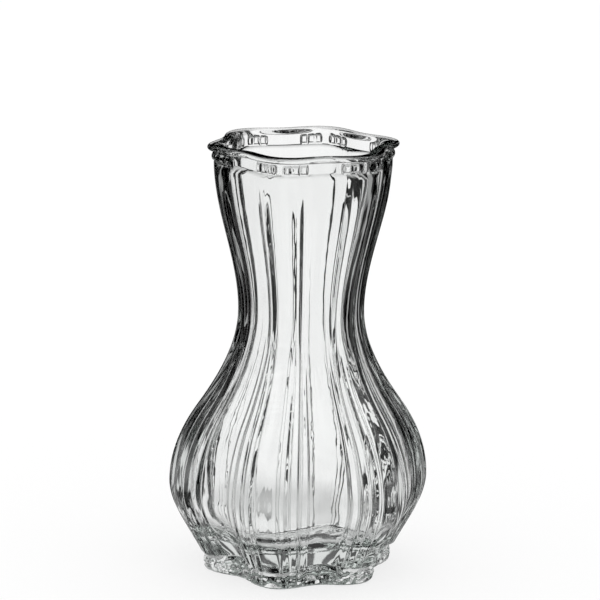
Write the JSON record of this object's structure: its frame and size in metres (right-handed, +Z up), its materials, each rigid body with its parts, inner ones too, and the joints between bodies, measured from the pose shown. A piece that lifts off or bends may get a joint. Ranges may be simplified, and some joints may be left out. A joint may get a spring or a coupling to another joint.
{
  "type": "flower vase",
  "caption": "Free-standing clear glass flower vase with a lobed bulb body, ribbed waisted neck, open lobed mouth with a rolled lip and a flat lobed foot.",
  "frame": {"origin": "centre of the foot's rest ring, on the surface that the vase stands on", "axes": "+Z up the vase's axis towards its mouth, -Y towards the crest of one lobe, +X towards a valley between two lobes"},
  "size_m": [0.0956, 0.1026, 0.17],
  "materials": {
    "clear_glass": "clear moulded soda-lime glass, fire polished"
  },
  "bodies": {
    "root": {"glass_vase": "clear_glass"}
  },
  "joints": []
}
